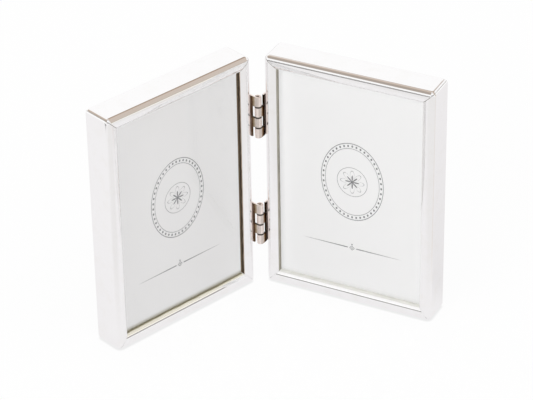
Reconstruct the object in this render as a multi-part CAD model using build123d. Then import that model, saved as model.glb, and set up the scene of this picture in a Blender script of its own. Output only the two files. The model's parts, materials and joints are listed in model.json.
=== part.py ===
from build123d import *
import os
from math import asin, atan2, degrees, hypot, sqrt

# Hinged double photo frame: two upright picture frames of rolled sheet metal, joined by
# two butt hinges. The hinges' common axis stands just in front of the frames' front faces.
# Millimetres, +Z up. At rest the two leaves stand open like a book towards -Y, alike about
# X = 0. The origin is the middle of the assembled footprint, on the surface it stands on.

# Picture format and how it is held
picture_width = 60.0
picture_height = 90.0
picture_play = 0.2         # between a sheet's edge and the rebate wall, on each side
seat_overlap = 1.1         # width of the step that the glass lies on

# Rail section: one strip of sheet rolled to a hollow moulding
sheet = 0.6                # thickness of the strip
rail_width = 4.9           # outer wall to sight edge
leaf_depth = 12.6          # front plane to back flange
bead_radius = 1.9          # rounding between outer wall and front face, and of the corners
crown_drop = 0.95          # how far the sight edge lies behind the front plane
sight_round = 0.35
seat_depth = 3.0           # glass seat behind the front plane
back_round = 1.0           # rounding between outer wall and back flange

# Pieces in the rebate, front to back; filler card and backing board share what is left
glass_thickness = 1.8
glass_arris = 0.15
print_thickness = 0.25
filler_share = 0.4         # the filler card's part of the room that the two fill
velvet_thickness = 0.4

# Turn buttons on the backing board
button_thickness = 0.6
button_width = 4.5
button_play = 0.15         # under the button, and between it and the rivet's head
flange_play = 0.3          # between the button and the flange it turns under
button_hook = 2.0          # how far the tip reaches under the flange
finger_reach = 4.8         # rivet to the button's finger end
finger_height = 0.5
finger_width = 2.6
rivet_inset = 6.0          # rivet's axis inside the rebate wall
rivet_radius = 0.8
rivet_running = 0.05       # radial clearance of the button on its rivet
rivet_head_radius = 1.7
rivet_head_height = 0.55
rivet_tail_radius = 1.3
rivet_tail_height = 0.5

# Hinges
hinge_length = 17.3
hinge_offset = 23.3        # middle of each hinge above and below the pair's middle
hinge_rise = 0.6           # the pair's middle above the leaf's middle
knuckle_count = 4
knuckle_gap = 0.25
plate_thickness = 0.7
plate_reach = 7.0          # front edge to back edge of the plate, along the wall
plate_setback = 0.2        # the plate's front edge behind the front plane
axis_ahead = 1.7           # hinge axis in front of the front plane
axis_aside = 1.5           # hinge axis to the hinge-side wall
pin_radius = 0.55
pin_grip = 0.01            # radial clearance in the knuckles that hold the pin
pin_running = 0.04         # radial clearance in the knuckles that turn on it
pin_recess = 0.35          # pin's ends inside the barrel's ends
curl_gap = 0.15            # slit where a rolled knuckle closes on its own plate

# Pose at rest and how near the leaves come to each other at their limits
rest_opening = 111.0       # angle between the two fronts, in degrees
leaf_clearance = 0.3

# One overrun serves every cut
overrun = 0.5

# Worked out from the sizes above
rebate_wall = rail_width - seat_overlap
leaf_width = picture_width + 2 * (picture_play + rebate_wall)
leaf_height = picture_height + 2 * (picture_play + rebate_wall)
crown_run = rail_width - bead_radius
crown_radius = (crown_run**2 + crown_drop**2) / (2 * crown_drop)
flange_face = leaf_depth - sheet
button_front = flange_face - flange_play - button_thickness
velvet_back = button_front - button_play
slot_start = button_front - flange_play
print_front = seat_depth + glass_thickness
filler_front = print_front + print_thickness
packing_room = velvet_back - velvet_thickness - filler_front
filler_thickness = filler_share * packing_room
board_front = filler_front + filler_thickness
board_thickness = packing_room - filler_thickness
tip_reach = rivet_inset + button_hook
barrel_radius = pin_radius + pin_running + plate_thickness
knuckle_length = (hinge_length - (knuckle_count - 1) * knuckle_gap) / knuckle_count
half_width = leaf_width / 2
half_height = leaf_height / 2


# A leaf is drawn in its own frame: X from the hinge-side wall outwards, Y from the front
# plane backwards, Z up. The hinge axis is at X = -axis_aside, Y = -axis_ahead.

def section_face(inset):
    """The rail's whole section with its skin moved in: X inwards from the outer wall, Y back."""
    back = leaf_depth - inset
    wall = rebate_wall - inset
    seat = seat_depth - inset
    sight = rail_width - inset
    crown = crown_radius - inset
    sight_front = crown_radius - sqrt(crown**2 - (sight - bead_radius)**2)
    crown_turn = degrees(asin((sight - bead_radius) / crown))
    outline = [
        Line((wall, back), (back_round, back)),
        CenterArc((back_round, leaf_depth - back_round), back_round - inset, 90, 90),
        Line((inset, leaf_depth - back_round), (inset, bead_radius)),
        CenterArc((bead_radius, bead_radius), bead_radius - inset, 180, 90),
        CenterArc((bead_radius, crown_radius), crown, 270, crown_turn),
        Line((sight, sight_front), (sight, seat)),
        Line((sight, seat), (wall, seat)),
        Line((wall, seat), (wall, back)),
    ]
    return make_face(Wire(outline))


def rail_section():
    """The rolled strip: flange, outer wall, bead, crowned face, reveal, glass seat, rebate wall."""
    skin = section_face(0)
    sight_corners = skin.vertices().group_by(Axis.X)[-1].sort_by(Axis.Y)
    skin = fillet(sight_corners[0], sight_round)
    slot_depth = flange_face - slot_start
    slot = Pos(rebate_wall + overrun, slot_start) * Rectangle(
        sheet + 2 * overrun, slot_depth, align=(Align.MAX, Align.MIN))
    return skin - section_face(sheet) - slot


def face_region(*corners):
    """A straight-sided region of the leaf's face, cut right through its depth."""
    region = Plane.XZ * make_face(Polyline(*corners, close=True))
    return extrude(region, amount=leaf_depth + overrun, both=True)


def leaf_block():
    """The leaf's outside: its bead is carried round the corners, which are polished ball-round."""
    block = Pos(half_width, leaf_depth / 2, half_height) * Box(leaf_width, leaf_depth, leaf_height)
    block = fillet(block.edges().filter_by(Axis.Y), bead_radius)
    return fillet(block.faces().sort_by(Axis.Y)[0].edges(), bead_radius)


def rail(origin, inwards, length, corners):
    """One mitred rail: the section run along its side, cut to its quarter of the leaf's face."""
    inwards = Vector(*inwards)
    backwards = Vector(Axis.Y.direction)
    place = Plane(origin=origin, x_dir=inwards, z_dir=inwards.cross(backwards))
    bar = extrude(place * rail_section(), amount=length / 2, both=True)
    return bar & leaf_block() & face_region(*corners)


def rails():
    foot, head = (half_width, half_width), (half_width, leaf_height - half_width)
    near_foot, near_head = (0, 0), (0, leaf_height)
    far_foot, far_head = (leaf_width, 0), (leaf_width, leaf_height)
    return {
        "top_rail": rail((half_width, 0, leaf_height), (0, 0, -1), leaf_width,
                         [near_head, head, far_head]),
        "bottom_rail": rail((half_width, 0, 0), (0, 0, 1), leaf_width,
                            [near_foot, far_foot, foot]),
        "hinge_rail": rail((0, 0, half_height), (1, 0, 0), leaf_height,
                           [near_foot, foot, head, near_head]),
        "outer_rail": rail((leaf_width, 0, half_height), (-1, 0, 0), leaf_height,
                           [far_foot, far_head, head, foot]),
    }


def slab(front, thickness, margin=0):
    """A flat piece of the picture's format in the rebate, smaller by a margin on each side."""
    return Pos(half_width, front + thickness / 2, half_height) * Box(
        picture_width - 2 * margin, thickness, picture_height - 2 * margin)


def rivet_heights():
    from_edge = rebate_wall + rivet_inset
    return {"bottom": from_edge, "top": leaf_height - from_edge}


def rivet_plane(height):
    """On the velvet, facing backwards: local X is level and local Y points to the nearer rail."""
    upwards = 1 if height > half_height else -1
    backwards = Vector(Axis.Y.direction)
    towards_rail = Vector(0, 0, upwards)
    return Plane(origin=(half_width, velvet_back, height), x_dir=towards_rail.cross(backwards),
                 z_dir=backwards)


def rivet(height):
    """A clinched rivet: domed head over the button, shank through the board, tail in its front."""
    tail = -velvet_thickness - board_thickness
    head = 2 * button_play + button_thickness
    dome = (rivet_head_radius**2 + rivet_head_height**2) / (2 * rivet_head_height)
    dome_turn = degrees(asin(rivet_head_radius / dome))
    outline = [
        Line((0, tail), (rivet_tail_radius, tail)),
        Line((rivet_tail_radius, tail), (rivet_tail_radius, tail + rivet_tail_height)),
        Line((rivet_tail_radius, tail + rivet_tail_height), (rivet_radius, tail + rivet_tail_height)),
        Line((rivet_radius, tail + rivet_tail_height), (rivet_radius, head)),
        Line((rivet_radius, head), (rivet_head_radius, head)),
        CenterArc((0, head + rivet_head_height - dome), dome, 90 - dome_turn, dome_turn),
        Line((0, head + rivet_head_height), (0, tail)),
    ]
    turned = revolve(Plane.XZ * make_face(Wire(outline)), Axis.Z)
    return rivet_plane(height) * turned


def rivet_hole(height):
    """What the board and the velvet lose to a rivet: its shank and its sunk tail."""
    tail = -velvet_thickness - board_thickness
    shank = Pos(0, 0, overrun) * Cylinder(
        rivet_radius, overrun - tail, align=(Align.CENTER, Align.CENTER, Align.MAX))
    sunk = Pos(0, 0, tail + rivet_tail_height) * Cylinder(
        rivet_tail_radius, rivet_tail_height + overrun, align=(Align.CENTER, Align.CENTER, Align.MAX))
    return rivet_plane(height) * (shank + sunk)


def turn_button(height):
    """A round-ended bar on the rivet, its tip under the flange and its finger end turned up."""
    length = tip_reach + finger_reach
    middle = (tip_reach - finger_reach) / 2
    bar = Pos(0, middle) * SlotOverall(length, button_width, rotation=90)
    bar -= Circle(rivet_radius + rivet_running)
    plate = extrude(Pos(0, 0, button_play) * bar, amount=button_thickness)
    finger = Pos(0, button_thickness - finger_reach, button_play) * Box(
        finger_width, button_thickness, button_thickness + finger_height,
        align=(Align.CENTER, Align.CENTER, Align.MIN))
    return rivet_plane(height) * (plate + finger)


def glass():
    pane = slab(seat_depth, glass_thickness)
    return chamfer(pane.edges(), glass_arris)


def velvet_cover():
    """Velvet glued over the board's back and round its four edges."""
    wrapped = slab(board_front, board_thickness + velvet_thickness)
    core = slab(board_front, board_thickness, velvet_thickness)
    return wrapped - core


def rebate_pieces():
    board = slab(board_front, board_thickness, velvet_thickness)
    velvet = velvet_cover()
    pieces = {
        "glass": glass(),
        "picture_sheet": slab(print_front, print_thickness),
        "filler_card": slab(filler_front, filler_thickness),
    }
    for end, height in rivet_heights().items():
        hole = rivet_hole(height)
        board -= hole
        velvet -= hole
        pieces[end + "_rivet"] = rivet(height)
        pieces[end + "_button"] = turn_button(height)
    pieces["backing_board"] = board
    pieces["velvet_cover"] = velvet
    return pieces


def knuckle_base(middle, number):
    """Height of a knuckle's lower end; knuckle 0 is the top one."""
    pitch = knuckle_length + knuckle_gap
    return middle + hinge_length / 2 - number * pitch - knuckle_length


def knuckle(base, bore):
    """A knuckle rolled from the plate's own strip, tangent to it, with its closing slit."""
    outside = barrel_radius - axis_aside
    inside = outside - plate_thickness
    root = plate_setback + plate_thickness
    neck = make_face(Polyline((0, root), (-plate_thickness, root), (inside, -axis_ahead),
                              (outside, -axis_ahead), close=True))
    axis = Pos(-axis_aside, -axis_ahead)
    slit = Pos(inside, -axis_ahead) * Rectangle(
        curl_gap, barrel_radius + overrun, align=(Align.MAX, Align.MIN))
    rolled = axis * Circle(barrel_radius) - slit + neck - axis * Circle(pin_radius + bore)
    return extrude(Pos(0, 0, base) * rolled, amount=knuckle_length)


def hinge_plate(middle, first, bore):
    """One half of a hinge: the plate on the wall and every second knuckle from `first`."""
    plate = Pos(0, plate_setback, middle) * Box(
        plate_thickness, plate_reach, hinge_length, align=(Align.MAX, Align.MIN, Align.CENTER))
    for number in range(first, knuckle_count, 2):
        plate += knuckle(knuckle_base(middle, number), bore)
    return plate


def hinge_pin(middle):
    return Pos(0, 0, middle) * Cylinder(pin_radius, hinge_length - 2 * pin_recess)


def leaf_pieces():
    pieces = rails()
    pieces.update(rebate_pieces())
    return pieces


# A leaf's frame about the hinge axis, turned to the pose at rest
right_place = Rot(0, 0, rest_opening / 2 - 90) * Pos(axis_aside, axis_ahead, 0)


def placed(shape, side, hinge_y):
    """A piece drawn for the right leaf, set on the right or mirrored to the left."""
    shape = Pos(0, hinge_y, 0) * right_place * shape
    return mirror(shape, about=Plane.YZ) if side == "left" else shape


def footprint_middle(pieces):
    """Y of the middle of both leaves' footprint, with the hinge axis at Y = 0."""
    outline = Compound([right_place * pieces[name] for name in pieces if name.endswith("_rail")])
    box = outline.bounding_box()
    return (box.min.Y + box.max.Y) / 2


def limit_turn(across, along):
    """How far a leaf's point turns before it is half the clearance from the plane between them."""
    return degrees(atan2(across, along) - asin(leaf_clearance / 2 / hypot(across, along)))


def joint_limits():
    """Turns of the right leaf from rest: fronts shut on each other, plates back to back."""
    past_shut = limit_turn(axis_ahead, axis_aside + leaf_width - bead_radius)
    plate_back = axis_ahead + plate_setback + plate_reach
    past_flat = limit_turn(axis_aside - plate_thickness, plate_back)
    return -rest_opening - 2 * past_shut, 180 + 2 * past_flat - rest_opening


def frame_pieces():
    leaf = leaf_pieces()
    hinge_y = -footprint_middle(leaf)
    pieces = {}
    for side in ("left", "right"):
        for name, shape in leaf.items():
            pieces[side + "_" + name] = placed(shape, side, hinge_y)
    for name, turn in (("upper", 1), ("lower", -1)):
        middle = half_height + hinge_rise + turn * hinge_offset
        left_plate = hinge_plate(middle, 0, pin_grip)
        right_plate = hinge_plate(middle, 1, pin_running)
        pieces[name + "_hinge_left_plate"] = placed(left_plate, "left", hinge_y)
        pieces[name + "_hinge_right_plate"] = placed(right_plate, "right", hinge_y)
        pieces[name + "_hinge_pin"] = Pos(0, hinge_y, 0) * hinge_pin(middle)
    return pieces, hinge_y


pieces, hinge_y = frame_pieces()
os.makedirs("parts", exist_ok=True)
for name, shape in pieces.items():
    export_step(shape, "parts/" + name + ".step")
print("pieces:", len(pieces))
print("leaf:", leaf_width, "x", leaf_height, "x", leaf_depth)
print("hinge axis at y =", round(hinge_y, 4))
print("right leaf turns from rest:", [round(limit, 2) for limit in joint_limits()])
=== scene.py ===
import json
from math import asin, cos, pi, radians, sin, tan

import bmesh
import bpy
from mathutils import Matrix, Vector


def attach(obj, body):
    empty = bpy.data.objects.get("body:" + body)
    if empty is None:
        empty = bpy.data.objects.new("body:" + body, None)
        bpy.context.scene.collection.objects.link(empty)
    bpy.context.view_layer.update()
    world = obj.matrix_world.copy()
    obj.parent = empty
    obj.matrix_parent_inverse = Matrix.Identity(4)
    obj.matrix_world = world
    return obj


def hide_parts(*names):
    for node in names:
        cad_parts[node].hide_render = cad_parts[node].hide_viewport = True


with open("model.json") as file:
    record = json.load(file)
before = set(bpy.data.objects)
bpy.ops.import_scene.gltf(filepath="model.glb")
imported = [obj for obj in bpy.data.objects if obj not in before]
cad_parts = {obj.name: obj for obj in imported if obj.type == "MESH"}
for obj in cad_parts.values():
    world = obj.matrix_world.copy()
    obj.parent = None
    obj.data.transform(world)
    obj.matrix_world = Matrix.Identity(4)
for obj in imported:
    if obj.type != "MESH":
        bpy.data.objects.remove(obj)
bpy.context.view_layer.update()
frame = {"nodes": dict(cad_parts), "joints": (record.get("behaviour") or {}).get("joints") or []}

# Hinged double photo frame. Metres, +Z up; the pictures face -Y. Each leaf is drawn in its own
# frame, X from the hinge-side wall outwards, Y from the front plane backwards, Z up, and the
# left leaf is the right one mirrored.
mm = 0.001

# Sizes of the metalwork, as on the solids
picture_width = 60 * mm
picture_height = 90 * mm
picture_play = 0.2 * mm
seat_overlap = 1.1 * mm
sheet = 0.6 * mm
rail_width = 4.9 * mm
leaf_depth = 12.6 * mm
bead_radius = 1.9 * mm
crown_drop = 0.95 * mm
sight_round = 0.35 * mm
seat_depth = 3.0 * mm
fold_round = 0.3 * mm
back_round = 1.0 * mm
slot_start = 10.8 * mm
rebate_wall = rail_width - seat_overlap
crown_run = rail_width - bead_radius
corner_round = bead_radius
crown_radius = (crown_run**2 + crown_drop**2) / (2 * crown_drop)
leaf_width = picture_width + 2 * (picture_play + rebate_wall)
leaf_height = picture_height + 2 * (picture_play + rebate_wall)
half_width = leaf_width / 2
half_height = leaf_height / 2

# Pieces in the rebate
glass_thickness = 1.8 * mm
glass_arris = 0.15 * mm
glass_air = 0.03 * mm            # between the pane and what it touches on the real frame
print_thickness = 0.25 * mm
velvet_front = 7.25 * mm
velvet_back = 10.95 * mm
velvet_thickness = 0.4 * mm
velvet_round = 0.55 * mm

# Turn buttons and rivets
button_thickness = 0.6 * mm
button_width = 4.5 * mm
button_play = 0.15 * mm
tip_reach = 8.0 * mm
finger_reach = 4.8 * mm
finger_height = 0.5 * mm
finger_width = 2.6 * mm
rivet_inset = 6.0 * mm
rivet_radius = 0.8 * mm
rivet_running = 0.05 * mm
rivet_head_radius = 1.7 * mm
rivet_head_height = 0.55 * mm
rivet_tail_radius = 1.3 * mm
rivet_tail_height = 0.5 * mm

# Hinges
hinge_length = 17.3 * mm
hinge_offset = 23.3 * mm
hinge_rise = 0.6 * mm
knuckle_count = 4
knuckle_gap = 0.25 * mm
plate_thickness = 0.7 * mm
plate_reach = 7.0 * mm
plate_setback = 0.2 * mm
axis_ahead = 1.7 * mm
axis_aside = 1.5 * mm
pin_radius = 0.55 * mm
pin_running = 0.04 * mm
pin_recess = 0.35 * mm
pin_chamfer = 0.12 * mm
roll_end = 70                    # degrees from the neck to the rolled knuckle's closing slit
barrel_radius = pin_radius + pin_running + plate_thickness
knuckle_length = (hinge_length - (knuckle_count - 1) * knuckle_gap) / knuckle_count
knuckle_pitch = knuckle_length + knuckle_gap

# Fine edges
seam_bevel = 0.09 * mm           # the open line at each mitre
edge_break = 0.07 * mm
overrun = 0.5 * mm

# Smoothness of the rounded stretches, and what counts as sharp or as nothing
bead_steps = 18
crown_steps = 14
bend_steps = 6
corner_steps = 12
roll_steps = 40
lathe_steps = 48
sharp_turn = radians(32)         # edges that turn more are shaded sharp
break_turn = radians(50)         # edges that turn more are broken on pressed and rolled pieces
hair = 0.001 * mm                # less than this counts as nothing
same_point = hair / 100


# Where the leaves stand

def joint(name):
    return next(j for j in frame["joints"] if j["name"] == name)


def right_leaf_matrix():
    """From the right leaf's own frame to the row frame."""
    hinge = Vector(joint("leaf_hinge")["pos_m"])
    back = Vector(joint("right_top_button_turn")["axis"])
    across = Vector((back.y, -back.x, 0))
    corner = Vector((hinge.x, hinge.y, 0)) + across * axis_aside + back * axis_ahead
    axes = Matrix((across, back, (0, 0, 1))).transposed().to_4x4()
    return Matrix.Translation(corner) @ axes


leaf_matrix = {"right": right_leaf_matrix()}
leaf_matrix["left"] = Matrix.Diagonal((-1, 1, 1, 1)) @ leaf_matrix["right"]


# Shader helpers. A colour is red, green and blue.

PLACE = "place_mm"               # the attribute that keeps where each point was drawn


def shader_node(tree, kind, settings=None, **inputs):
    made = tree.nodes.new(kind)
    for name, value in (settings or {}).items():
        setattr(made, name, value)
    dress(tree, made, **inputs)
    return made


def dress(tree, node, **inputs):
    """Fills a node's inputs; an underscore stands for the space in an input's name."""
    for name, value in inputs.items():
        plug(tree, node.inputs[name.replace("_", " ")], value)


def plug(tree, socket, value):
    """Links the socket to another node's output, or sets its value."""
    if isinstance(value, bpy.types.NodeSocket):
        tree.links.new(value, socket)
    elif socket.type == "RGBA":
        socket.default_value = (*value, 1)
    else:
        socket.default_value = value


def reckon(tree, operation, *values):
    """A math node's result."""
    made = tree.nodes.new("ShaderNodeMath")
    made.operation = operation
    for socket, value in zip(made.inputs, values):
        plug(tree, socket, value)
    return made.outputs[0]


def times(tree, first, *others):
    for other in others:
        first = reckon(tree, "MULTIPLY", first, other)
    return first


def highest(tree, first, *others):
    for other in others:
        first = reckon(tree, "MAXIMUM", first, other)
    return first


def away_from(tree, value, middle=0.0):
    """How far a value is from a middle one, either way."""
    return reckon(tree, "ABSOLUTE", reckon(tree, "SUBTRACT", value, middle))


def reach_of(tree, across, up):
    """How long a step across and up is."""
    squares = [reckon(tree, "POWER", value, 2.0) for value in (across, up)]
    return reckon(tree, "SQRT", reckon(tree, "ADD", *squares))


def spread(tree, value, low, high, to_low, to_high):
    """The value's range stretched to another, and held at its ends."""
    made = shader_node(tree, "ShaderNodeMapRange", From_Min=low, From_Max=high,
                       To_Min=to_low, To_Max=to_high)
    plug(tree, made.inputs[0], value)
    return made.outputs[0]


def fade_in(tree, value, low, high):
    return spread(tree, value, low, high, 0.0, 1.0)


def fade_out(tree, value, low, high):
    return spread(tree, value, low, high, 1.0, 0.0)


def band(tree, value, low, high, soft):
    """1 between two values, with soft edges."""
    return times(tree, fade_in(tree, value, low - soft, low + soft),
                 fade_out(tree, value, high - soft, high + soft))


def mix_colours(tree, factor, first, second):
    made = tree.nodes.new("ShaderNodeMix")
    made.data_type = "RGBA"
    colours = [socket for socket in made.inputs if socket.type == "RGBA"]
    plug(tree, made.inputs[0], factor)
    for socket, value in zip(colours, (first, second)):
        plug(tree, socket, value)
    return next(socket for socket in made.outputs if socket.type == "RGBA")


def by_steps(tree, value, steps):
    """A colour that changes evenly from each step's value to the next one's."""
    low, colour = steps[0]
    for high, tint in steps[1:]:
        colour = mix_colours(tree, fade_in(tree, value, low, high), colour, tint)
        low = high
    return colour


def noise(tree, place, scale, detail=2.0, roughness=0.5, stretch=(1, 1, 1), turn=0.0):
    """Noise over places in millimetres; stretch slows it along an axis."""
    mapping = shader_node(tree, "ShaderNodeMapping", Vector=place,
                          Rotation=(0, 0, turn), Scale=stretch)
    made = shader_node(tree, "ShaderNodeTexNoise", Vector=mapping.outputs[0], Scale=scale,
                       Detail=detail, Roughness=roughness)
    return made.outputs[0]


def bump(tree, height, distance, strength=1.0, normal=None):
    made = shader_node(tree, "ShaderNodeBump", Height=height, Distance=distance, Strength=strength)
    if normal is not None:
        dress(tree, made, Normal=normal)
    return made.outputs[0]


def new_material(name):
    """A material, its tree and its Principled shader."""
    material = bpy.data.materials.new(name)
    material.use_nodes = True
    tree = material.node_tree
    return material, tree, tree.nodes["Principled BSDF"]


def piece_place(tree):
    """The piece's own coordinates in millimetres, kept on its points."""
    return shader_node(tree, "ShaderNodeAttribute", {"attribute_name": PLACE}).outputs["Vector"]


def object_place(tree):
    """Object coordinates in millimetres."""
    coordinates = shader_node(tree, "ShaderNodeTexCoord").outputs["Object"]
    scaled = shader_node(tree, "ShaderNodeVectorMath", {"operation": "SCALE"}, Scale=1 / mm)
    plug(tree, scaled.inputs[0], coordinates)
    return scaled.outputs[0]


def axes_of(tree, place):
    """The place's X, Y and Z."""
    return shader_node(tree, "ShaderNodeSeparateXYZ", Vector=place).outputs


def rays(tree, *kinds):
    """1 for light's paths of these kinds, 0 for others."""
    path = shader_node(tree, "ShaderNodeLightPath").outputs
    return highest(tree, *(path["Is " + kind + " Ray"] for kind in kinds))


def emission(tree, colour, strength=1.0):
    return shader_node(tree, "ShaderNodeEmission", Color=colour, Strength=strength)


def show(tree, shader):
    """Puts a shader on the tree's output."""
    output = next(node for node in tree.nodes if node.type.startswith("OUTPUT"))
    tree.links.new(shader.outputs[0], output.inputs["Surface"])


def show_blend(tree, share, first, second):
    both = shader_node(tree, "ShaderNodeMixShader")
    for socket, value in zip(both.inputs, (share, first.outputs[0], second.outputs[0])):
        plug(tree, socket, value)
    show(tree, both)


# Metals

lip_glow_for_paper = 0.9                  # how brightly a lip glows, as painted light, for the print beside it
lip_glow_in_mirrors = 0.7               # how brightly it glows, as painted light, where the other rails mirror it
lip_uneven = 0.8                 # how far, in mm, a stain moves the painted shade of a lip
lip_warmth = (1.0, 0.82, 0.55)

# The lips that are darker than the plating, their colours painted shade and painted reflection: a name,
# then colours by depth behind the front, in mm
lip_shades = {
    "left_hinge_rail": ("painted_shade_brown_lip", (1.05, (0.36, 0.28, 0.22)), (1.25, (0.035, 0.02, 0.009)),
                        (1.9, (0.025, 0.014, 0.006)), (3.0, (0.25, 0.18, 0.12))),
    "right_hinge_rail": ("painted_shade_grey_lip", (1.2, (0.42, 0.41, 0.36)), (3.0, (0.18, 0.175, 0.15))),
    "left_bottom_rail": ("painted_shade_olive_lip", (1.3, (1.0, 0.98, 0.87)), (1.65, (0.6, 0.56, 0.42)),
                         (2.2, (0.14, 0.125, 0.07)), (3.0, (0.55, 0.53, 0.42))),
    "right_bottom_rail": ("painted_shade_pale_lip", (1.3, (0.92, 0.92, 0.89)), (3.0, (0.78, 0.79, 0.74))),
}

seam_fade_heights = (6, 12)             # heights in mm between which a mitre's open line turns darker

# Warm nickel of the hinges, by depth behind the leaf's front in mm, with light and shade painted in: the
# lit colour of what faces the room, and the painted shade of what the leaf's wall would shade
nickel_shades = {
    "bright": ("painted_light_hinge_nickel", (-3.2, (0.89, 0.79, 0.735)), (-1, (0.95, 0.87, 0.83))),
    "left_shaded": ("painted_shade_brown_hinge_nickel", (-1.7, (0.7, 0.62, 0.57)), (-0.8, (0.38, 0.3, 0.2)),
                    (0, (0.15, 0.095, 0.055)), (0.4, (0.09, 0.05, 0.03)), (1, (0.55, 0.47, 0.41))),
    "right_shaded": ("painted_shade_dark_hinge_nickel", (-1.7, (0.7, 0.62, 0.57)), (-1.2, (0.4, 0.3, 0.21)),
                     (-0.6, (0.14, 0.09, 0.045)), (0.1, (0.025, 0.012, 0.004)),
                     (0.4, (0.03, 0.015, 0.006)), (0.8, (0.75, 0.68, 0.63))),
}
nickel_uneven = 0.9
# the nickel's colour where other metal mirrors it, without the painted shade
nickel_mirrored = (0.88, 0.8, 0.76)
nickel_gloss = (0.15, 0.28)
# near black beside the knuckle gaps: dirt and painted shade of the gaps
gap_shade_and_dirt = (0.03, 0.02, 0.013)
gap_line = (0.2, 0.42)           # mm from a gap's middle to where the dirt and painted shade beside it are gone
barrel_front = (-0.6, -0.4)      # depths in mm between which the barrels end


def silver_plate():
    """Polished plate: nearly a mirror, with rolling waves, wiping lines and a breath of tarnish."""
    material, tree, metal = new_material("polished_silver_plate")
    place = piece_place(tree)
    waves = noise(tree, place, 0.09, detail=1.0, stretch=(0.45, 2.0, 2.0))
    lines = noise(tree, place, 1.6, detail=5.0, roughness=0.7, stretch=(0.06, 3.0, 3.0))
    wiped = noise(tree, place, 0.35, detail=3.0, stretch=(0.5, 1, 1))
    tarnish = spread(tree, noise(tree, place, 0.16, detail=4.0, roughness=0.65), 0.5, 0.78, 0.0, 0.5)
    smooth = bump(tree, waves, 0.05 * mm, 0.35)
    dress(tree, metal, Metallic=1.0,
          Base_Color=mix_colours(tree, tarnish, (0.975, 0.967, 0.97), (0.93, 0.91, 0.885)),
          Roughness=spread(tree, times(tree, wiped, lines), 0.12, 0.42, 0.035, 0.1),
          Normal=bump(tree, lines, 0.0015 * mm, 0.4, smooth))
    return material


def painted_glow_for_paper(tree, metal):
    """Painted light: glows white to diffuse and mirrored rays, so the print and the rails beside a lip get
    as much light as the bright room in front would.
    """
    strength = spread(tree, rays(tree, "Glossy"), 0.0, 1.0, lip_glow_for_paper, lip_glow_in_mirrors)
    show_blend(tree, rays(tree, "Diffuse", "Glossy"), metal, emission(tree, (1, 1, 1), strength))


def bare_inside():
    """The strip's hidden face, which the plating bath hardly reached; it glows pale to diffuse and mirrored
    rays as painted light.
    """
    material, tree, metal = new_material("unplated_inside")
    stain = noise(tree, piece_place(tree), 0.5, detail=5.0, roughness=0.65)
    dress(tree, metal, Metallic=0.85,
          Base_Color=mix_colours(tree, stain, (0.2, 0.15, 0.115), (0.42, 0.35, 0.28)),
          Roughness=spread(tree, stain, 0.3, 0.7, 0.3, 0.5), Normal=bump(tree, stain, 0.01 * mm, 0.5))
    painted_glow_for_paper(tree, metal)
    return material


def painted_shade_lip(name, *steps):
    """A rail's inner lip beside the glass, dull, with painted shade and painted reflection set by its depth
    behind the front.
    """
    material, tree, metal = new_material(name)
    place = piece_place(tree)
    stain = noise(tree, place, 0.2, detail=4.0)
    uneven = reckon(tree, "MULTIPLY_ADD", reckon(tree, "SUBTRACT", stain, 0.5), lip_uneven,
                    axes_of(tree, place)["Z"])
    dress(tree, metal, Metallic=0.35, Specular_Tint=lip_warmth, Base_Color=by_steps(tree, uneven, steps),
          Roughness=spread(tree, stain, 0.3, 0.7, 0.28, 0.45))
    painted_glow_for_paper(tree, metal)
    return material


def plated_lip():
    """The silver lip beside the glass, a little duller than the polished front, and glowing pale to diffuse
    and mirrored rays as painted light.
    """
    material, tree, metal = new_material("plated_lip")
    stain = noise(tree, piece_place(tree), 0.2, detail=4.0)
    dress(tree, metal, Metallic=0.5,
          Base_Color=mix_colours(tree, stain, (0.93, 0.92, 0.9), (0.86, 0.84, 0.8)),
          Roughness=spread(tree, stain, 0.3, 0.7, 0.08, 0.16))
    painted_glow_for_paper(tree, metal)
    return material


def seam_line():
    """Solder and polish left in the open line of a mitre, fading to plain pale metal below the heights
    given.
    """
    material, tree, metal = new_material("mitre_seam")
    grain = noise(tree, piece_place(tree), 1.4, detail=4.0)
    olive = mix_colours(tree, grain, (0.17, 0.15, 0.11), (0.42, 0.39, 0.33))
    paler_below = fade_out(tree, axes_of(tree, object_place(tree))["Z"], *seam_fade_heights)
    dress(tree, metal, Metallic=0.6, Roughness=0.45, Normal=bump(tree, grain, 0.02 * mm),
          Base_Color=mix_colours(tree, paler_below, olive, (0.93, 0.93, 0.93)))
    return material


def drawn_lines(tree, metal, dull_range, brushed=(1, 1, 0.12)):
    """The fine lines of a drawn or rolled metal, in its gloss and its surface."""
    lines = noise(tree, piece_place(tree), 2.6, detail=5.0, roughness=0.7, stretch=brushed)
    dress(tree, metal, Metallic=1.0, Roughness=spread(tree, lines, 0.25, 0.75, *dull_range),
          Normal=bump(tree, lines, 0.006 * mm, 0.6))


def worn_metal(name, light, dark, roughness, brushed=(1, 1, 0.12)):
    """A drawn or rolled metal with cloudy colour."""
    material, tree, metal = new_material(name)
    cloud = noise(tree, piece_place(tree), 0.55, detail=4.0, roughness=0.6)
    dress(tree, metal, Base_Color=mix_colours(tree, cloud, dark, light))
    drawn_lines(tree, metal, (roughness * 0.7, roughness * 1.35), brushed)
    return material


def by_gap(tree, depth, height):
    """1 on the barrels beside the gaps between knuckles, 0 elsewhere."""
    pitch = knuckle_pitch / mm
    cell = reckon(tree, "FRACT", reckon(tree, "MULTIPLY_ADD", height, 1 / pitch, 0.5))
    from_gap = times(tree, away_from(tree, cell, 0.5), pitch)
    inner = fade_out(tree, away_from(tree, height), 1.4 * pitch, 1.5 * pitch)
    barrel = fade_out(tree, depth, *barrel_front)
    return times(tree, fade_out(tree, from_gap, *gap_line), inner, barrel)


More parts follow.
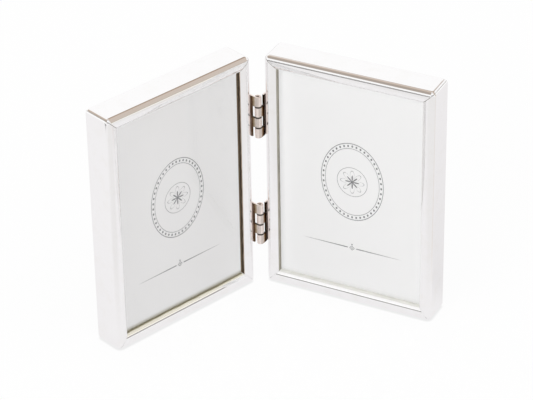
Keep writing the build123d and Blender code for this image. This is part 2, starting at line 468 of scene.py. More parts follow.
def hinge_nickel(name, *steps):
    """Warm nickel with painted light and shade by its depth behind the leaf's front, and painted shade with
    dirt beside the gaps.
    """
    material, tree, metal = new_material(name)
    place = piece_place(tree)
    _, depth, height = axes_of(tree, place)
    cloud = noise(tree, place, 0.55, detail=4.0, roughness=0.6)
    uneven = reckon(tree, "MULTIPLY_ADD", reckon(tree, "SUBTRACT", cloud, 0.5), nickel_uneven, depth)
    nickel = mix_colours(tree, rays(tree, "Glossy"), by_steps(tree, uneven, steps), nickel_mirrored)
    colour = mix_colours(tree, by_gap(tree, depth, height), nickel, gap_shade_and_dirt)
    dress(tree, metal, Base_Color=colour, Specular_Tint=colour)
    drawn_lines(tree, metal, nickel_gloss)
    return material


def hinge_grime_and_shade():
    """Old oil and polish between the knuckles, near black as dirt and painted shade."""
    material, tree, grime = new_material("hinge_grime_and_shade")
    crumb = noise(tree, piece_place(tree), 3.0, detail=5.0, roughness=0.7)
    dress(tree, grime, Roughness=0.6, Specular_IOR_Level=0.1,
          Base_Color=mix_colours(tree, crumb, (0.012, 0.009, 0.007), (0.06, 0.045, 0.035)),
          Normal=bump(tree, crumb, 0.03 * mm, 0.8))
    return material


# Glass, paper, card, board and velvet

def clear_glass():
    """Float glass: smears of cleaning in its gloss; lamps shine through it without being bent."""
    material, tree, glass = new_material("float_glass")
    smear = noise(tree, piece_place(tree), 0.05, detail=6.0, roughness=0.7, stretch=(1, 1, 0.3), turn=0.5)
    dress(tree, glass, Base_Color=(1.0, 1.0, 1.0), Transmission_Weight=1.0, IOR=1.5,
          Roughness=spread(tree, smear, 0.5, 0.8, 0.0, 0.025))
    clear = shader_node(tree, "ShaderNodeBsdfTransparent", Color=(0.99, 0.99, 0.99))
    show_blend(tree, rays(tree, "Shadow", "Diffuse"), glass, clear)
    return material


# The print, in millimetres from the sheet's middle
oval_centre = 1.5
oval_width = 12.6                # half sizes of the medallion's outer ring
oval_height = 16.4
oval_rings = ((1.0, 0.13), (0.87, 0.09))    # each ring's share of that size, and half its line
bead_count = 44
bead_share = 0.935
bead_dot = 0.42
petal_reach, petal_foot, petal_line = 3.9, 0.9, 0.1
stamen_reach, stamen_foot = 2.4, 0.5
rosette_ring, rosette_line = 6.1, 0.08
rule_height = -27.5
rule_reach = 20.5
rule_middle, rule_tip = 0.22, 0.02          # half the rule's line
rule_heavy, rule_fade = 2.0, 2.0            # how far it stays heavy, and fades at its ends
rule_gap = (1.7, 1.85)
lozenge_reach, lozenge_line, lozenge_heart = 0.95, 0.16, 0.35
dot_rise, dot_radius = 1.55, 0.3

ink_grey = (0.075, 0.075, 0.085)
# Two whites of each sheet, mixed by its grain; the left sheet's are darker as painted shade
print_whites_lit_and_shaded = {
    "left": ((0.83, 0.824, 0.824), (0.86, 0.854, 0.854)),
    "right": ((0.865, 0.865, 0.865), (0.885, 0.885, 0.885)),
}
# Painted shade where the bottom rail's lip would shade the sheet: full at the foot, and gone at each side's
# height
shade_foot = -44.9
print_painted_shade = {"left": (-43.3, (0.42, 0.4, 0.32)), "right": (-43.0, (0.8, 0.8, 0.775))}


def line_mask(tree, distance, half_line, soft=0.05):
    """1 on a printed line, fading over its edge; the distance is from its middle, in mm."""
    return fade_out(tree, reckon(tree, "SUBTRACT", away_from(tree, distance), half_line), -soft, soft)


def medallion(tree, across, up):
    """A beaded oval between two fine rings, with an eight-petalled rosette in its middle."""
    right = reckon(tree, "DIVIDE", across, oval_width)
    above = reckon(tree, "SUBTRACT", up, oval_centre)
    top = reckon(tree, "DIVIDE", above, oval_height)
    reach = reach_of(tree, right, top)
    turn = reckon(tree, "ARCTAN2", top, right)
    middle_size = (oval_width + oval_height) / 2
    rings = []
    for share, half_line in oval_rings:
        gap = times(tree, reckon(tree, "SUBTRACT", reach, share), middle_size)
        rings.append(line_mask(tree, gap, half_line))
    beads_round = reckon(tree, "MULTIPLY_ADD", turn, bead_count / (2 * pi), 0.5 + bead_count)
    cell = reckon(tree, "FRACT", beads_round)
    spacing = 2 * pi * middle_size * bead_share / bead_count
    along = times(tree, reckon(tree, "SUBTRACT", cell, 0.5), spacing)
    aside = times(tree, reckon(tree, "SUBTRACT", reach, bead_share), middle_size)
    beads = line_mask(tree, reach_of(tree, along, aside), bead_dot)
    return highest(tree, *rings, beads, rosette(tree, across, above))


def rosette(tree, across, up):
    """Eight slim petals about a dark star, inside a thin ring."""
    reach = reach_of(tree, across, up)
    turn = reckon(tree, "ARCTAN2", up, across)
    lobes = reckon(tree, "ABSOLUTE", reckon(tree, "COSINE", times(tree, turn, 4.0)))
    petals = reckon(tree, "MULTIPLY_ADD", reckon(tree, "POWER", lobes, 0.8), petal_reach, petal_foot)
    outline = line_mask(tree, reckon(tree, "SUBTRACT", reach, petals), petal_line, 0.09)
    stamens = reckon(tree, "MULTIPLY_ADD", reckon(tree, "POWER", lobes, 3.0), stamen_reach, stamen_foot)
    star = fade_out(tree, reckon(tree, "SUBTRACT", reach, stamens), -0.06, 0.06)
    ring = line_mask(tree, reckon(tree, "SUBTRACT", reach, rosette_ring), rosette_line)
    return highest(tree, outline, star, ring)


def tapered_rule(tree, across, up):
    """A hairline swelling to its middle, broken there by a small lozenge under a dot."""
    rise = reckon(tree, "SUBTRACT", up, rule_height)
    far = reckon(tree, "ABSOLUTE", across)
    half_line = spread(tree, far, rule_heavy, rule_reach, rule_middle, rule_tip)
    line = times(tree, line_mask(tree, rise, half_line, 0.06), fade_in(tree, far, *rule_gap),
                 fade_out(tree, far, rule_reach - rule_fade, rule_reach))
    lozenge = reckon(tree, "ADD", away_from(tree, rise), far)
    rim = line_mask(tree, reckon(tree, "SUBTRACT", lozenge, lozenge_reach), lozenge_line)
    heart = line_mask(tree, lozenge, lozenge_heart)
    dot = line_mask(tree, reach_of(tree, reckon(tree, "SUBTRACT", rise, dot_rise), far), dot_radius)
    return highest(tree, line, rim, heart, dot)


def print_paper(side):
    """Satin coated paper with a grey printed ornament and a little paper grain; painted shade darkens its
    foot and, a little, the whole left sheet.
    """
    material, tree, paper = new_material(side + "_print_paper")
    place = piece_place(tree)
    across, _, up = axes_of(tree, place)
    if side == "left":
        across = times(tree, across, -1.0)
    grain = noise(tree, place, 3.5, detail=4.0)
    cloud = noise(tree, place, 0.04, detail=2.0)
    dull, clear = print_whites_lit_and_shaded[side]
    white = mix_colours(tree, grain, dull, clear)
    white = mix_colours(tree, spread(tree, cloud, 0.35, 0.65, 0.0, 0.35), white, dull)
    shade_top, shade = print_painted_shade[side]
    # painted shade towards the sheet's foot
    near_rail = reckon(tree, "POWER", fade_out(tree, up, shade_foot, shade_top), 1.3)
    white = mix_colours(tree, near_rail, white, shade)
    ink = highest(tree, medallion(tree, across, up), tapered_rule(tree, across, up))
    ink = times(tree, ink, spread(tree, grain, 0.3, 0.7, 0.86, 1.0))
    dress(tree, paper, Base_Color=mix_colours(tree, ink, white, ink_grey),
          Roughness=spread(tree, grain, 0.3, 0.7, 0.42, 0.52), Normal=bump(tree, grain, 0.01 * mm, 0.4))
    return material


def fibre_board(name, light, dark, speck):
    """Pressed fibres: short flecks over a cloudy ground, with a matt, slightly rough face."""
    material, tree, board = new_material(name)
    place = object_place(tree)
    cloud = noise(tree, place, 0.3, detail=5.0, roughness=0.7)
    fleck = noise(tree, place, 1.8, detail=6.0, roughness=0.8, stretch=(1, 1, 0.4), turn=0.4)
    ground = mix_colours(tree, cloud, dark, light)
    flecked = mix_colours(tree, spread(tree, fleck, 0.56, 0.68, 0.0, 0.7), ground, speck)
    dress(tree, board, Base_Color=flecked,
          Roughness=spread(tree, fleck, 0.3, 0.7, 0.7, 0.9), Normal=bump(tree, fleck, 0.06 * mm, 0.7))
    return material


def black_velvet():
    """Short pile: dark, with a soft sheen, brushed patches and a fine nap."""
    material, tree, velvet = new_material("black_velvet")
    place = piece_place(tree)
    nap = noise(tree, place, 5.5, detail=3.0, roughness=0.6, stretch=(1, 1, 0.45))
    brushed = noise(tree, place, 0.07, detail=4.0, roughness=0.6, stretch=(1, 1, 0.6), turn=0.3)
    ground = mix_colours(tree, fade_in(tree, brushed, 0.42, 0.6),
                         (0.012, 0.012, 0.015), (0.028, 0.028, 0.034))
    soft = bump(tree, brushed, 0.25 * mm, 0.5)
    dress(tree, velvet, Base_Color=mix_colours(tree, nap, ground, (0.045, 0.045, 0.052)),
          Roughness=spread(tree, nap, 0.3, 0.7, 0.8, 1.0), Normal=bump(tree, nap, 0.12 * mm, 0.9, soft),
          Sheen_Weight=0.55, Sheen_Roughness=0.35, Sheen_Tint=(0.5, 0.5, 0.58), Specular_IOR_Level=0.15)
    return material


# Mesh helpers

def box(bm, low, high):
    """A box between two corners."""
    low, high = Vector(low), Vector(high)
    size = Matrix.Diagonal((*(high - low), 1))
    middle = Matrix.Translation((low + high) / 2)
    bmesh.ops.create_cube(bm, size=1, matrix=middle @ size)


def sharp_edges(bm):
    return [edge for edge in bm.edges if edge.is_manifold and edge.calc_face_angle() > break_turn]


def round_edges(bm, edges, width, segments=2):
    bmesh.ops.bevel(bm, geom=edges, offset=width, offset_type="OFFSET", affect="EDGES",
                    segments=segments, profile=0.5, material=-1)


def cut_away(bm, point, normal):
    """Takes off what lies beyond a plane, and closes the cut."""
    everything = bm.verts[:] + bm.edges[:] + bm.faces[:]
    cut = bmesh.ops.bisect_plane(bm, geom=everything, dist=same_point, plane_co=point,
                                 plane_no=normal, clear_outer=True)
    rim = [part for part in cut["geom_cut"] if isinstance(part, bmesh.types.BMEdge)]
    return bmesh.ops.edgeloop_fill(bm, edges=rim)["faces"]


def split_at(bm, point, normal):
    everything = bm.verts[:] + bm.edges[:] + bm.faces[:]
    bmesh.ops.bisect_plane(bm, geom=everything, dist=same_point, plane_co=point, plane_no=normal)


def points_of(parts):
    """The points among an operator's results."""
    return [part for part in parts if isinstance(part, bmesh.types.BMVert)]


def extrude_on(bm, faces):
    """Extrudes faces in place, without leaving them inside, and gives the new points."""
    made = bmesh.ops.extrude_face_region(bm, geom=faces)["geom"]
    bmesh.ops.delete(bm, geom=[f for f in faces if f.is_valid], context="FACES")
    return points_of(made)


def keep_place(bm, shift=(0, 0, 0), matrix=None):
    """Writes each point's present place, in millimetres, where the materials read it."""
    layer = bm.verts.layers.float_vector.get(PLACE) or bm.verts.layers.float_vector.new(PLACE)
    for vert in bm.verts:
        place = matrix @ vert.co if matrix else vert.co
        vert[layer] = place / mm + Vector(shift)


def link_to_scene(name, data):
    made = bpy.data.objects.new(name, data)
    bpy.context.scene.collection.objects.link(made)
    return made


def piece(bm, name, body, nodes, materials, side=None, weighted=True):
    """Turns a bmesh into a finished piece on its body, in place of its nodes."""
    if side:
        bmesh.ops.transform(bm, matrix=leaf_matrix[side], verts=bm.verts)
    bmesh.ops.recalc_face_normals(bm, faces=bm.faces)
    for face in bm.faces:
        face.smooth = True
    for edge in bm.edges:
        edge.smooth = not (edge.is_manifold and edge.calc_face_angle() > sharp_turn)
    mesh = bpy.data.meshes.new(name)
    bm.to_mesh(mesh)
    bm.free()
    for material in materials:
        mesh.materials.append(material)
    made = link_to_scene(name, mesh)
    if weighted:
        shading = made.modifiers.new("face_weighted_shading", "WEIGHTED_NORMAL")
        shading.mode = "FACE_AREA"
        shading.keep_sharp = True
    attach(made, body)
    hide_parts(*nodes)
    return made


# Rails

SKIN, INSIDE, LIP, SEAM = range(4)
lip_slant = 0.62                 # a face that looks inwards by more than this is part of the lip
pattern_step = 137               # mm between two rails' places in the plating's pattern
leaf_step = 61


def line_to(bm, tip, place):
    """Draws a straight stretch from the chain's last point."""
    made = bmesh.ops.extrude_vert_indiv(bm, verts=[tip])["verts"][0]
    bmesh.ops.translate(bm, verts=[made], vec=Vector(place) - made.co)
    return made


def arc_about(bm, tip, centre, angle, steps):
    """Draws an arc from the chain's last point, about a centre in the section's plane."""
    turned = bmesh.ops.spin(bm, geom=[tip], cent=centre, axis=(0, 0, 1), angle=angle, steps=steps)
    return points_of(turned["geom_last"])[0]


def strip_face(bm, inset):
    """One face of the rolled strip in section: X in from the outer wall, Y back from the front."""
    back = leaf_depth - inset
    sight = rail_width - inset
    crown_turn = asin((sight - bead_radius) / (crown_radius - inset))
    start = bm.verts.new((rebate_wall, back, 0))
    tip = line_to(bm, start, (back_round, back, 0))
    tip = arc_about(bm, tip, (back_round, leaf_depth - back_round, 0), pi / 2, bend_steps)
    tip = line_to(bm, tip, (inset, bead_radius, 0))
    tip = arc_about(bm, tip, (bead_radius, bead_radius, 0), pi / 2, bead_steps)
    crown_end = arc_about(bm, tip, (bead_radius, crown_radius, 0), crown_turn, crown_steps)
    fold = line_to(bm, crown_end, (sight, seat_depth - inset, 0))
    tip = line_to(bm, fold, (rebate_wall - inset, seat_depth - inset, 0))
    tip = line_to(bm, tip, (rebate_wall - inset, slot_start, 0))
    if inset == 0:
        sight_turn = pi / 2 - crown_turn
        round_corner(bm, crown_end, sight_round * tan(sight_turn / 2))
        round_corner(bm, fold, fold_round)
    return start, tip


def round_corner(bm, vert, offset):
    bmesh.ops.bevel(bm, geom=[vert], offset=offset, offset_type="OFFSET", affect="VERTICES",
                    segments=bend_steps, profile=0.5, material=-1)


def rolled_strip(length):
    """The moulding's section, run along Z."""
    bm = bmesh.new()
    inner = bm.verts.layers.int.new("inner")
    outer_start, outer_end = strip_face(bm, 0)
    outside = set(bm.verts)
    inner_start, inner_end = strip_face(bm, sheet)
    for vert in bm.verts:
        vert[inner] = vert not in outside
    bm.edges.new((outer_start, inner_start))
    bm.edges.new((outer_end, inner_end))
    section = bmesh.ops.edgeloop_fill(bm, edges=bm.edges)["faces"]
    moved = points_of(bmesh.ops.extrude_face_region(bm, geom=section)["geom"])
    bmesh.ops.translate(bm, verts=moved, vec=(0, 0, length))
    bmesh.ops.recalc_face_normals(bm, faces=bm.faces)
    for face in bm.faces:
        face.material_index = strip_side(face, inner)
    return bm


def strip_side(face, inner):
    """Which finish a face of the strip has: plated skin, lip beside the glass or bare inside."""
    centre = face.calc_center_median()
    if sum(vert[inner] for vert in face.verts) * 2 >= len(face.verts):
        return INSIDE
    if centre.y > seat_depth - edge_break and centre.x > rebate_wall - edge_break \
            and face.normal.x > -0.5 and centre.y < leaf_depth - sheet:
        return INSIDE
    if face.normal.x > lip_slant and centre.y < seat_depth:
        return LIP
    return SKIN


def round_leaf_corners(bm, length):
    """Bends both mitred ends of the wall and bead round the leaf's corners."""
    for vert in bm.verts:
        far_end = vert.co.z > length / 2
        from_end = length - vert.co.z if far_end else vert.co.z
        reach = corner_round - vert.co.x
        if reach < hair or from_end > corner_round - hair:
            continue
        turn = pi / 4 * (corner_round - from_end) / reach
        vert.co.x = corner_round - reach * cos(turn)
        bent = corner_round - reach * sin(turn)
        vert.co.z = length - bent if far_end else bent


def open_seam(bm, mitres):
    """Breaks the outer edges of a mitred end, so that a fine line shows at the joint."""
    ends = set()
    for point, normal in mitres:
        for face in bm.faces:
            flat = abs(face.normal.dot(normal)) > 0.999
            if flat and abs((face.calc_center_median() - point).dot(normal)) < hair:
                ends.add(face)
    inner = bm.verts.layers.int["inner"]
    rim = [edge for end in ends for edge in end.edges
           if not any(vert[inner] for vert in edge.verts)]
    made = bmesh.ops.bevel(bm, geom=rim, offset=seam_bevel, offset_type="OFFSET", affect="EDGES",
                           segments=1, profile=0.5, material=-1)
    for face in made["faces"]:
        face.material_index = SEAM


def mitred_rail(length):
    """A rail in its own frame: X inwards, Y backwards, Z along its side."""
    bm = rolled_strip(length + 2 * overrun)
    bmesh.ops.translate(bm, verts=bm.verts, vec=(0, 0, -overrun))
    for step in range(1, corner_steps + 1):
        from_end = corner_round * step / corner_steps
        for height in (from_end, length - from_end):
            split_at(bm, (0, 0, height), (0, 0, 1))
    near = (Vector((0, 0, 0)), Vector((1, 0, -1)).normalized())
    far = (Vector((0, 0, length)), Vector((1, 0, 1)).normalized())
    for point, normal in (near, far):
        for face in cut_away(bm, point, normal):
            face.material_index = INSIDE
    open_seam(bm, (near, far))
    round_leaf_corners(bm, length)
    return bm


def rail_place(origin, inwards):
    inwards = Vector(inwards)
    backwards = Vector((0, 1, 0))
    axes = Matrix((inwards, backwards, inwards.cross(backwards))).transposed().to_4x4()
    return Matrix.Translation(origin) @ axes


rail_sides = {
    "top_rail": (leaf_width, (0, 0, leaf_height), (0, 0, -1)),
    "bottom_rail": (leaf_width, (leaf_width, 0, 0), (0, 0, 1)),
    "hinge_rail": (leaf_height, (0, 0, 0), (1, 0, 0)),
    "outer_rail": (leaf_height, (leaf_width, 0, leaf_height), (-1, 0, 0)),
}


def build_rails(finishes):
    for side in ("left", "right"):
        for number, (name, (length, origin, inwards)) in enumerate(rail_sides.items()):
            bm = mitred_rail(length)
            spin_axes = Matrix(((0, 0, 1), (1, 0, 0), (0, 1, 0))).to_4x4()
            along = pattern_step * number + (leaf_step if side == "left" else 0)
            keep_place(bm, shift=(along, 0, 0), matrix=spin_axes)
            bmesh.ops.transform(bm, matrix=rail_place(origin, inwards), verts=bm.verts)
            lip = finishes.get(side + "_" + name + "_lip", finishes["plated_lip"])
            node = side + "_" + name
            piece(bm, node + "_plated", side + "_leaf", [node],
                  [finishes["silver"], finishes["inside"], lip, finishes["seam"]], side)


# What the rails hold

def build_glass(side, finishes):
    bm = bmesh.new()
    edge = rebate_wall + picture_play
    box(bm, (edge, seat_depth + glass_air, edge),
        (leaf_width - edge, seat_depth + glass_thickness - glass_air, leaf_height - edge))
    round_edges(bm, bm.edges[:], glass_arris)
    keep_place(bm)
    piece(bm, side + "_glass_pane", side + "_leaf", [side + "_glass"],
          [finishes["glass"]], side)


def build_print(side, finishes):
    bm = bmesh.new()
    edge = rebate_wall + picture_play
    front = seat_depth + glass_thickness
    box(bm, (edge, front, edge), (leaf_width - edge, front + print_thickness, leaf_height - edge))
    middle = Matrix.Translation((-half_width, -front, -half_height))
    keep_place(bm, matrix=middle)
    piece(bm, side + "_printed_sheet", side + "_leaf", [side + "_picture_sheet"],
          [finishes[side + "_paper"]], side, weighted=False)


def build_velvet(side, finishes):
    """Velvet over the board's back and round its edges, open at the front."""
    bm = bmesh.new()
    edge = rebate_wall + picture_play
    box(bm, (edge, velvet_front, edge), (leaf_width - edge, velvet_back, leaf_height - edge))
    front = [face for face in bm.faces if face.normal.y < -0.5]
    bmesh.ops.delete(bm, geom=front, context="FACES_ONLY")
    rounded = [e for e in bm.edges if e.is_manifold]
    round_edges(bm, rounded, velvet_round, segments=4)
    bmesh.ops.recalc_face_normals(bm, faces=bm.faces)
    walls = bm.faces[:]
    bmesh.ops.solidify(bm, geom=walls, thickness=velvet_thickness)
    keep_place(bm)
    cover = piece(bm, side + "_velvet_tray", side + "_leaf", [side + "_velvet_cover"],
                  [finishes["velvet"]], side)


# Turn buttons and rivets, drawn on the velvet: X level, Y to the nearer rail, Z backwards

def rivet_frame(end):
    from_edge = rebate_wall + rivet_inset
    upwards = 1 if end == "top" else -1
    height = leaf_height - from_edge if end == "top" else from_edge
    backwards = Vector((0, 1, 0))
    towards_rail = Vector((0, 0, upwards))
    axes = Matrix((towards_rail.cross(backwards), towards_rail, backwards)).transposed().to_4x4()
    return Matrix.Translation((half_width, velvet_back, height)) @ axes


def button_blank(bm):
    """A washer about the rivet, drawn out to a round-ended bar and given its thickness."""
    bmesh.ops.create_circle(bm, cap_ends=False, radius=rivet_radius + rivet_running,
                            segments=lathe_steps)
    outer = points_of(bmesh.ops.extrude_edge_only(bm, edges=bm.edges[:])["geom"])
    widened = button_width / 2 / (rivet_radius + rivet_running)
    bmesh.ops.scale(bm, verts=outer, vec=(widened, widened, 1))
    ahead = [vert for vert in outer if vert.co.y > hair]
    behind = [vert for vert in outer if vert.co.y < -hair]
    bmesh.ops.translate(bm, verts=ahead, vec=(0, tip_reach - button_width / 2, 0))
    bmesh.ops.translate(bm, verts=behind, vec=(0, button_width / 2 - finger_reach, 0))
    bmesh.ops.translate(bm, verts=bm.verts, vec=(0, 0, button_play))
    moved = points_of(bmesh.ops.extrude_face_region(bm, geom=bm.faces[:])["geom"])
    bmesh.ops.translate(bm, verts=moved, vec=(0, 0, button_thickness))


def raise_finger(bm):
    """Turns up the finger end: a narrow tab across the bar's short end."""
    near = button_thickness - finger_reach
    far = near + button_thickness
    for side in (-1, 1):
        split_at(bm, (side * finger_width / 2, 0, 0), (1, 0, 0))
    for place in (near, far):
        split_at(bm, (0, place, 0), (0, 1, 0))
    top = button_play + button_thickness
    tab = []
    for face in bm.faces:
        centre = face.calc_center_median()
        if abs(centre.z - top) < hair and abs(centre.x) < finger_width / 2 and near < centre.y < far:
            tab.append(face)
    bmesh.ops.translate(bm, verts=extrude_on(bm, tab), vec=(0, 0, finger_height))


def build_button(side, end, finishes):
    bm = bmesh.new()
    button_blank(bm)
    raise_finger(bm)
    bmesh.ops.recalc_face_normals(bm, faces=bm.faces)
    round_edges(bm, sharp_edges(bm), edge_break)
    keep_place(bm)
    bmesh.ops.transform(bm, matrix=rivet_frame(end), verts=bm.verts)
    node = side + "_" + end + "_button"
    piece(bm, node + "_pressed", node, [node], [finishes["button"]], side)


def lathe(bm, start, draw):
    """Turns a profile about Z; draw adds the profile's stretches to the chain."""
    tip = bm.verts.new(start)
    draw(tip)
    bmesh.ops.spin(bm, geom=bm.verts[:] + bm.edges[:], cent=(0, 0, 0), axis=(0, 0, 1),
                   angle=2 * pi, steps=lathe_steps, use_merge=True)
    bmesh.ops.remove_doubles(bm, verts=bm.verts, dist=hair)


def build_rivet(side, end, finishes):
    """A clinched rivet: domed head, shank and flat tail."""
    bm = bmesh.new()
    tail = velvet_front - velvet_back
    head = 2 * button_play + button_thickness
    dome = (rivet_head_radius**2 + rivet_head_height**2) / (2 * rivet_head_height)
    dome_turn = asin(rivet_head_radius / dome)
    rim_height = 0.12 * mm

    def draw(tip):
        for radius, height in ((rivet_tail_radius, tail), (rivet_tail_radius, tail + rivet_tail_height),
                               (rivet_radius, tail + rivet_tail_height), (rivet_radius, head),
                               (rivet_head_radius, head), (rivet_head_radius, head + rim_height)):
            tip = line_to(bm, tip, (radius, 0, height))
        for step in range(1, bend_steps * 2 + 1):
            turn = dome_turn * (1 - step / (bend_steps * 2))
            rise = (cos(turn) - cos(dome_turn)) * (rivet_head_height - rim_height) / (1 - cos(dome_turn))
            tip = line_to(bm, tip, (dome * sin(turn), 0, head + rim_height + rise))

    lathe(bm, (0, 0, tail), draw)
    keep_place(bm)
    bmesh.ops.transform(bm, matrix=rivet_frame(end), verts=bm.verts)
    node = side + "_" + end + "_rivet"
    piece(bm, node + "_domed", side + "_leaf", [node], [finishes["brass"]], side)


# Hinges: each plate's knuckles are rolled from its own strip

def knuckle_base(middle, number):
    return middle + hinge_length / 2 - number * knuckle_pitch - knuckle_length


def roll_knuckle(bm, base):
    """Draws the plate's front edge forward into a neck, then rolls it round the pin."""
    edge = [f for f in bm.faces if f.normal.y < -0.9
            and base < f.calc_center_median().z < base + knuckle_length]
    neck = extrude_on(bm, edge)
    outside = barrel_radius - axis_aside
    for vert in neck:
        far_face = vert.co.x < -plate_thickness / 2
        vert.co.x = outside - plate_thickness if far_face else outside
        vert.co.y = -axis_ahead
    end = [f for f in bm.faces if all(v in neck for v in f.verts)]
    bmesh.ops.spin(bm, geom=end + list({e for f in end for e in f.edges}) + neck,
                   cent=(-axis_aside, -axis_ahead, 0), axis=(0, 0, 1),
                   angle=radians(roll_end - 360), steps=roll_steps)


def hinge_half(middle, first):
    bm = bmesh.new()
    box(bm, (-plate_thickness, plate_setback, middle - hinge_length / 2),
        (0, plate_setback + plate_reach, middle + hinge_length / 2))
    for number in range(first, knuckle_count, 2):
        base = knuckle_base(middle, number)
        for height in (base, base + knuckle_length):
            if abs(height - middle) < hinge_length / 2 - edge_break:
                split_at(bm, (0, 0, height), (0, 0, 1))
    for number in range(first, knuckle_count, 2):
        roll_knuckle(bm, knuckle_base(middle, number))
    bmesh.ops.remove_doubles(bm, verts=bm.verts, dist=same_point)
    bmesh.ops.recalc_face_normals(bm, faces=bm.faces)
    return bm


# A hinge plate's finishes: nickel with painted light, dirt with painted shade, and nickel with painted
# shade
PAINTED_LIT, GRIME_AND_SHADE, PAINTED_SHADE = range(3)
plate_step = 31                  # mm between two plates' places in the nickel's pattern


def plate_side(face, middle):
    """Which finish a face of a hinge plate has: lit nickel, dirt and painted shade in a gap, or painted
    shade where the wall would shade it.
    """
    centre = face.calc_center_median()
    inner = abs(centre.z - middle) < hinge_length / 2 - edge_break
    if inner and centre.y < -edge_break and abs(face.normal.z) > 0.25:
        return GRIME_AND_SHADE
    if face.normal.x > 0.5 and centre.x > barrel_radius / 2 - axis_aside - edge_break:
        return PAINTED_SHADE
    front_edge = face.normal.y < -0.7 and abs(centre.y - plate_setback) < edge_break
    return PAINTED_SHADE if front_edge else PAINTED_LIT


def build_hinge(name, middle, finishes):
    for side, first in (("left", 0), ("right", 1)):
        bm = hinge_half(middle, first)
        round_edges(bm, sharp_edges(bm), edge_break)
        for face in bm.faces:
            face.material_index = plate_side(face, middle)
        keep_place(bm, shift=(plate_step * first, 0, -middle / mm))
        node = name + "_hinge_" + side + "_plate"
        piece(bm, node + "_rolled", side + "_leaf", [node],
              [finishes["bright_nickel"], finishes["grime"], finishes[side + "_shaded_nickel"]], side)
    build_pin(name, middle, finishes)


def build_pin(name, middle, finishes):
    bm = bmesh.new()
    half = hinge_length / 2 - pin_recess

    def draw(tip):
        for radius, height in ((pin_radius - pin_chamfer, -half), (pin_radius, pin_chamfer - half),
                               (pin_radius, half - pin_chamfer), (pin_radius - pin_chamfer, half),
                               (0, half)):
            tip = line_to(bm, tip, (radius, 0, height))

    lathe(bm, (0, 0, -half), draw)
    keep_place(bm)
    hinge = joint("leaf_hinge")["pos_m"]
    bmesh.ops.translate(bm, verts=bm.verts, vec=(hinge[0], hinge[1], middle))
    node = name + "_hinge_pin"
    piece(bm, node + "_drawn", "left_leaf", [node], [finishes["pin"]])


# The set: floor, world, lamps and camera

studio_white = (1.0, 1.0, 1.0)
studio_reach = 30.0
floor_glow = 0.93                # how much of the floor that the camera sees is plain white
floor_mirror_glow = 0.8
contact_reach = 1.3 * mm
contact_grey = (0.85, 0.85, 0.85)
contact_range = (0.4, 0.85)

# The floor as the metal mirrors it, in millimetres: to the right of the frame's middle, and behind it
floor_plain = (0.89, 0.88, 0.887)
floor_front = (0.81, 0.8, 0.795)
front_right, front_back = (-170, -90), (-80, -30)
floor_warm = (0.78, 0.745, 0.72)
warm_right, warm_back = (80, 105), (-35, -15)
warm_slant, warm_edge = 0.38, (-24, -18)
floor_aside, floor_far = (0.8, 0.785, 0.793), (0.86, 0.845, 0.852)
aside_right, aside_back, aside_change = (66, 80), (-26, -16), (70, 210)
floor_dark = (0.12, 0.115, 0.11)
paper_turn = radians(30)         # the way to the paper's edge, from straight left towards the front
paper_edge, paper_soft = (226, 2000), 4
paper_flare, paper_side = -0.14, (30, 50)

# The room that the metal mirrors: colour, turn from straight behind and rise over the horizon, in
# degrees, and how soft its top and bottom are; a later zone lies over an earlier one
right_tan = (0.62, 0.54, 0.475)
wall_grey = (0.62, 0.62, 0.63)
room_zones = (
    ((0.72, 0.72, 0.72), (-181, 181), (74, 91), 3),       # ceiling
    ((0.6, 0.5, 0.42), (-128, 122), (37, 72), 2),         # tan band under it
    (studio_white, (-30, 0), (30, 56), 3),
    ((0.36, 0.27, 0.21), (4, 60), (36, 52), 2),           # brown beam
    (right_tan, (52, 122), (42, 62), 2),
    (right_tan, (96, 122), (3, 46), 2),
    ((0.42, 0.365, 0.32), (-128, -55), (38, 72), 2),      # brown wall at the left
    (wall_grey, (145, 190), (12, 40), 6),
    (wall_grey, (-190, -145), (12, 40), 6),
    ((0.1, 0.095, 0.09), (-138, -85), (-1, 4), 1),        # dark line along the floor
    ((0.32, 0.3, 0.29), (85, 125), (-2, 9), 1),
)
zone_side = 6
world_light = 0.9

key_place = Vector((-0.75, -0.75, 0.6))
key_size = 0.7
key_power = 2.6
frame_middle = Vector((0, 0, 0.05))

card_place = Vector((250, -122, 82)) * mm
card_width, card_height = 130 * mm, 76 * mm
card_turn = radians(-70)
card_shades = ((55, (0.99, 0.965, 0.91)), (95, (0.86, 0.83, 0.71)))    # by height in millimetres

camera_place = Vector((-108.99, -823.34, 562.34)) * mm
camera_yaw, camera_pitch, camera_roll = -7.59, -31.927, -1.017
camera_focal_share = 2644.4 / 533           # focal length over the frame's width, both in pixels
sensor_width = 36
nearest_seen, farthest_seen = 0.05, 100


def stage_sheet(name, size, matrix, material):
    """A flat square of the set, laid by the matrix; its size is half its side."""
    bm = bmesh.new()
    bmesh.ops.create_grid(bm, x_segments=1, y_segments=1, size=size, matrix=matrix)
    mesh = bpy.data.meshes.new(name)
    bm.to_mesh(mesh)
    bm.free()
    mesh.materials.append(material)
    made = link_to_scene(name, mesh)
    return made


